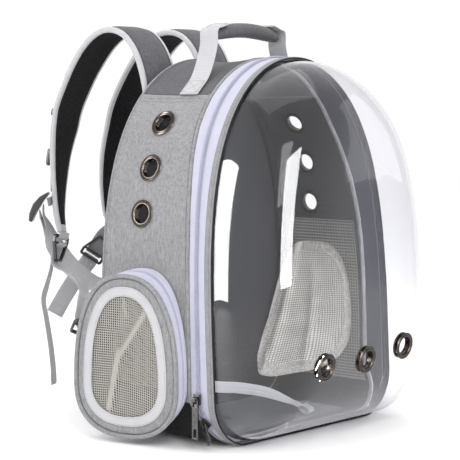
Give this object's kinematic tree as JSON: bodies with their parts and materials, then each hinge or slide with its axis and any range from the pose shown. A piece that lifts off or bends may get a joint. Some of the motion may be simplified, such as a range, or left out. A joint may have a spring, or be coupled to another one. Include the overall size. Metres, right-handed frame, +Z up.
{
  "type": "bubble pet carrier backpack",
  "caption": "Backpack for carrying a small pet, with a clear moulded dome in front, zipped side doors with net windows, vents, a top handle and padded shoulder straps.",
  "frame": {"origin": "middle of the base panel's resting face, at the middle of the body's width and depth", "axes": "+Z up, the dome faces -Y, the wearer's back lies against the +Y side, +X to the wearer's right"},
  "size_m": [0.3828, 0.4603, 0.4376],
  "materials": {
    "black_cloth": "matt black woven cloth and air mesh",
    "grey_cloth": "grey heather oxford cloth",
    "dark_cloth": "darker grey cloth",
    "white_tape": "white zipper tape with a lavender tint",
    "clear_dome": "clear moulded polycarbonate, gloss",
    "vent_metal": "dark gunmetal plated vents",
    "white_webbing": "off-white ribbed webbing",
    "net": "beige-grey knitted net",
    "zip_metal": "gunmetal plated zinc",
    "black_plastic": "satin black acetal"
  },
  "bodies": {
    "carrier": {"anchor_ring_left": "black_plastic", "anchor_ring_right": "black_plastic", "anchor_webbing_left": "white_webbing", "anchor_webbing_right": "white_webbing", "back_panel": "dark_cloth", "back_piping": "grey_cloth", "base_panel": "black_cloth", "bubble_dome": "clear_dome", "bubble_grommet_centre": "vent_metal", "bubble_grommet_left": "vent_metal", "bubble_grommet_right": "vent_metal", "chest_buckle": "black_plastic", "chest_webbing_long": "white_webbing", "chest_webbing_short": "white_webbing", "chest_webbing_tail": "white_webbing", "door_binding_left": "white_webbing", "door_binding_right": "white_webbing", "door_gusset_left": "white_tape", "door_gusset_right": "white_tape", "door_net_left": "net", "door_net_right": "net", "door_panel_left": "grey_cloth", "door_panel_right": "grey_cloth", "door_piping_left": "grey_cloth", "door_piping_right": "grey_cloth", "floor_mat": "dark_cloth", "front_piping": "grey_cloth", "front_rim": "grey_cloth", "handle_grip": "dark_cloth", "handle_webbing_left": "white_webbing", "handle_webbing_right": "white_webbing", "leash_strap": "white_webbing", "load_webbing_left": "white_webbing", "load_webbing_right": "white_webbing", "net_sleeve_left": "net", "net_sleeve_right": "net", "pad_ring_left": "black_plastic", "pad_ring_right": "black_plastic", "pad_webbing_left": "white_webbing", "pad_webbing_right": "white_webbing", "shoulder_pad_left": "black_cloth", "shoulder_pad_right": "black_cloth", "side_grommet_left_bottom": "vent_metal", "side_grommet_left_middle": "vent_metal", "side_grommet_left_top": "vent_metal", "side_grommet_right_bottom": "vent_metal", "side_grommet_right_middle": "vent_metal", "side_grommet_right_top": "vent_metal", "side_panel_left": "grey_cloth", "side_panel_right": "grey_cloth", "strap_ring_left": "black_plastic", "strap_ring_right": "black_plastic", "top_panel": "grey_cloth", "webbing_tail_right": "white_webbing", "zip_slider_lower": "zip_metal", "zip_slider_upper": "zip_metal", "zipper_coil": "white_tape", "zipper_gusset": "white_tape"},
    "pull_upper": {"zip_pull_upper": "zip_metal"},
    "pull_lower": {"zip_pull_lower": "zip_metal"}
  },
  "joints": [
    {"name": "upper_pull_swing", "type": "hinge", "parent": "carrier", "child": "pull_upper", "pos_m": [-0.1581, -0.06286, 0.052], "axis": [0, 1, 0], "range_deg": [0, 150]},
    {"name": "lower_pull_swing", "type": "hinge", "parent": "carrier", "child": "pull_lower", "pos_m": [-0.15249, -0.06964, 0.0258], "axis": [0.3199, 0.6691, -0.6708], "range_deg": [-30, 45]}
  ]
}
